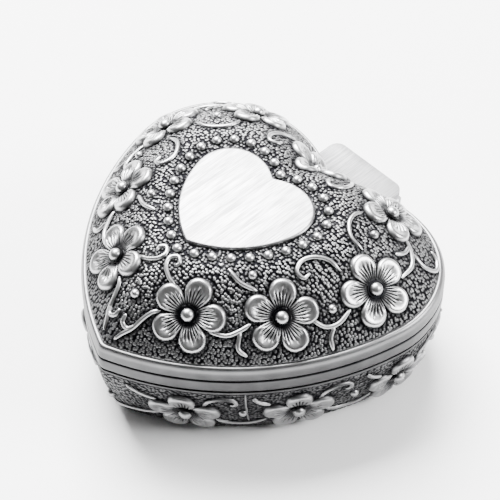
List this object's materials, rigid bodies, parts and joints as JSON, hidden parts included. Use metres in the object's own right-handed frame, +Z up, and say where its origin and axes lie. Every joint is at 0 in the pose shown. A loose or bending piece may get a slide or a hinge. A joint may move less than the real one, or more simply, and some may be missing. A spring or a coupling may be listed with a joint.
{
  "type": "trinket box",
  "caption": "Heart-shaped hinged trinket box of cast metal with a domed lid, flower relief, beaded border and a plain polished heart plate.",
  "frame": {"origin": "middle of the box's outline on the surface it stands on", "axes": "+Z up, +X to the right, the heart's tip points to -Y, the hinge is at +Y"},
  "size_m": [0.0844, 0.0826, 0.0414],
  "materials": {
    "cast_metal": "antiqued pewter, dark patina in the recesses, worn bright on top",
    "bright_metal": "polished pewter with fine brush lines",
    "pin_steel": "plain steel",
    "velvet": "black velvet"
  },
  "bodies": {
    "base": {"base_shell": "cast_metal", "base_lining": "velvet", "floor_pad": "velvet", "hinge_pin": "pin_steel", "base_flower_1": "cast_metal", "base_flower_2": "cast_metal", "base_flower_3": "cast_metal", "base_flower_4": "cast_metal", "base_flower_5": "cast_metal", "base_flower_6": "cast_metal", "base_flower_7": "cast_metal", "base_flower_8": "cast_metal"},
    "lid": {"lid_shell": "cast_metal", "lid_lining": "velvet", "heart_plate": "bright_metal", "bead_border": "bright_metal", "lid_flower_1": "cast_metal", "lid_flower_2": "cast_metal", "lid_flower_3": "cast_metal", "lid_flower_4": "cast_metal", "lid_flower_5": "cast_metal", "lid_flower_6": "cast_metal", "lid_flower_7": "cast_metal", "lid_flower_8": "cast_metal", "lid_flower_9": "cast_metal"}
  },
  "joints": [
    {"name": "lid_hinge", "type": "hinge", "parent": "base", "child": "lid", "pos_m": [0, 0.03935, 0.0191], "axis": [-1, 0, 0], "range_deg": [0, 95]}
  ]
}
